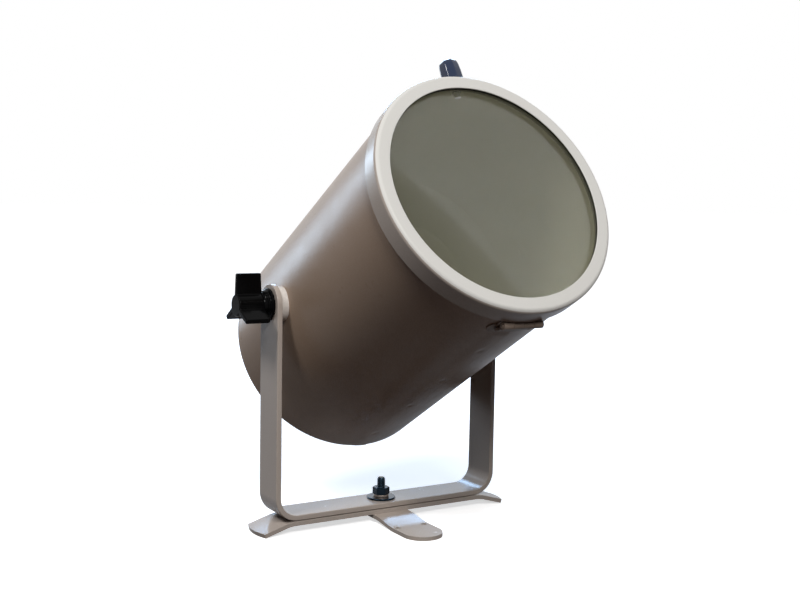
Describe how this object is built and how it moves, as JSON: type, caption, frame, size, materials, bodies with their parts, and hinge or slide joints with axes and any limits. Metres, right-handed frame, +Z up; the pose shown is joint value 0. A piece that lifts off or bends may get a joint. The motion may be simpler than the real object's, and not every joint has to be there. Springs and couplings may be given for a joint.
{
  "type": "floor par can light",
  "caption": "Cylindrical stage spotlight with a hinged glass bezel, tilting in a flat-bar yoke that pans on crossed foot bars and is clamped by wing knobs.",
  "frame": {"origin": "on the floor, in the middle of the floor screw holes and under the centre bolt", "axes": "+Z up; the can's front towards -Y; the tilt axis along X"},
  "size_m": [0.3054, 0.3829, 0.4258],
  "materials": {
    "bar_paint": "cream-taupe powder coat, satin",
    "can_paint": "champagne pearl coat, satin",
    "bezel_paint": "pale warm satin coat",
    "spacer_paint": "pale satin coat",
    "hinge_steel": "dark brown satin coat",
    "dark_steel": "blackened zinc, polished",
    "lock_steel": "oiled spring steel",
    "zinc_steel": "bright zinc plate",
    "screw_steel": "black zinc",
    "clip_steel": "spring steel",
    "fibre_dark": "dark fibre",
    "fibre_red": "red vulcanised fibre",
    "knob_black": "gloss black plastic",
    "knob_blue": "gloss blue-black plastic",
    "insert_brass": "turned",
    "gasket_rubber": "black",
    "lens_glass": "clear toughened",
    "plate_black": "black anodised sheet",
    "heatsink_black": "black anodised extrusion",
    "board_white": "white solder mask",
    "phosphor": "yellow phosphor",
    "reflector_metal": "bright spun",
    "driver_white": "off-white moulded",
    "terminal_cream": "cream moulded",
    "inlet_black": "black moulded",
    "pin_metal": "nickel-plated",
    "lead_brown": "brown heatproof sleeve",
    "lead_red": "red silicone sleeve"
  },
  "bodies": {
    "base": {"foot_long": "bar_paint", "foot_cross": "bar_paint", "centre_bolt": "dark_steel", "pan_washer": "fibre_dark", "clamp_washer": "dark_steel", "lock_washer": "lock_steel", "clamp_nut": "dark_steel"},
    "yoke": {"yoke": "bar_paint"},
    "can": {"can_shell": "can_paint", "rear_cover": "can_paint", "cover_lugs": "zinc_steel", "cover_screws": "screw_steel", "pivot_spacers": "spacer_paint", "pivot_studs": "zinc_steel", "pivot_nuts": "zinc_steel", "hinge_leaf_can": "hinge_steel", "hinge_pin": "zinc_steel", "hinge_rivets": "hinge_steel", "lamp_plate": "plate_black", "heatsink": "heatsink_black", "lamp_board": "board_white", "light_emitter": "phosphor", "reflector": "reflector_metal", "reflector_screws": "zinc_steel", "chassis_rods": "zinc_steel", "chassis_screws": "screw_steel", "driver_box": "driver_white", "driver_screws": "screw_steel", "terminal_block": "terminal_cream", "power_inlet": "inlet_black", "inlet_pins": "pin_metal", "inlet_screws": "screw_steel", "mains_leads": "lead_brown", "driver_leads": "lead_brown", "lamp_leads": "lead_red"},
    "bezel": {"bezel_ring": "bezel_paint", "front_glass": "lens_glass", "glass_gasket": "gasket_rubber", "glass_clips": "clip_steel", "hinge_leaf_bezel": "hinge_steel", "latch_nut": "screw_steel"},
    "latch": {"latch_knob": "knob_blue", "latch_screw": "zinc_steel", "latch_washer": "fibre_red"},
    "wing_left": {"wing_knob_left": "knob_black", "wing_insert_left": "insert_brass"},
    "wing_right": {"wing_knob_right": "knob_black", "wing_insert_right": "insert_brass"}
  },
  "joints": [
    {"name": "pan", "type": "hinge", "parent": "base", "child": "yoke", "pos_m": [0, 0, 0.012], "axis": [0, 0, 1], "continuous": true},
    {"name": "tilt", "type": "hinge", "parent": "yoke", "child": "can", "pos_m": [0, 0, 0.2095], "axis": [-1, 0, 0], "range_deg": [-58, 169]},
    {"name": "bezel_hinge", "type": "hinge", "parent": "can", "child": "bezel", "pos_m": [0, -0.21698, 0.20802], "axis": [1, 0, 0], "range_deg": [0, 110]},
    {"name": "latch_turn", "type": "hinge", "parent": "bezel", "child": "latch", "pos_m": [0, -0.11254, 0.40462], "axis": [0, 0.5075, 0.8616], "continuous": true},
    {"name": "wing_left_turn", "type": "hinge", "parent": "can", "child": "wing_left", "pos_m": [-0.13, 0, 0.2095], "axis": [-1, 0, 0], "continuous": true},
    {"name": "wing_right_turn", "type": "hinge", "parent": "can", "child": "wing_right", "pos_m": [0.13, 0, 0.2095], "axis": [1, 0, 0], "continuous": true}
  ]
}
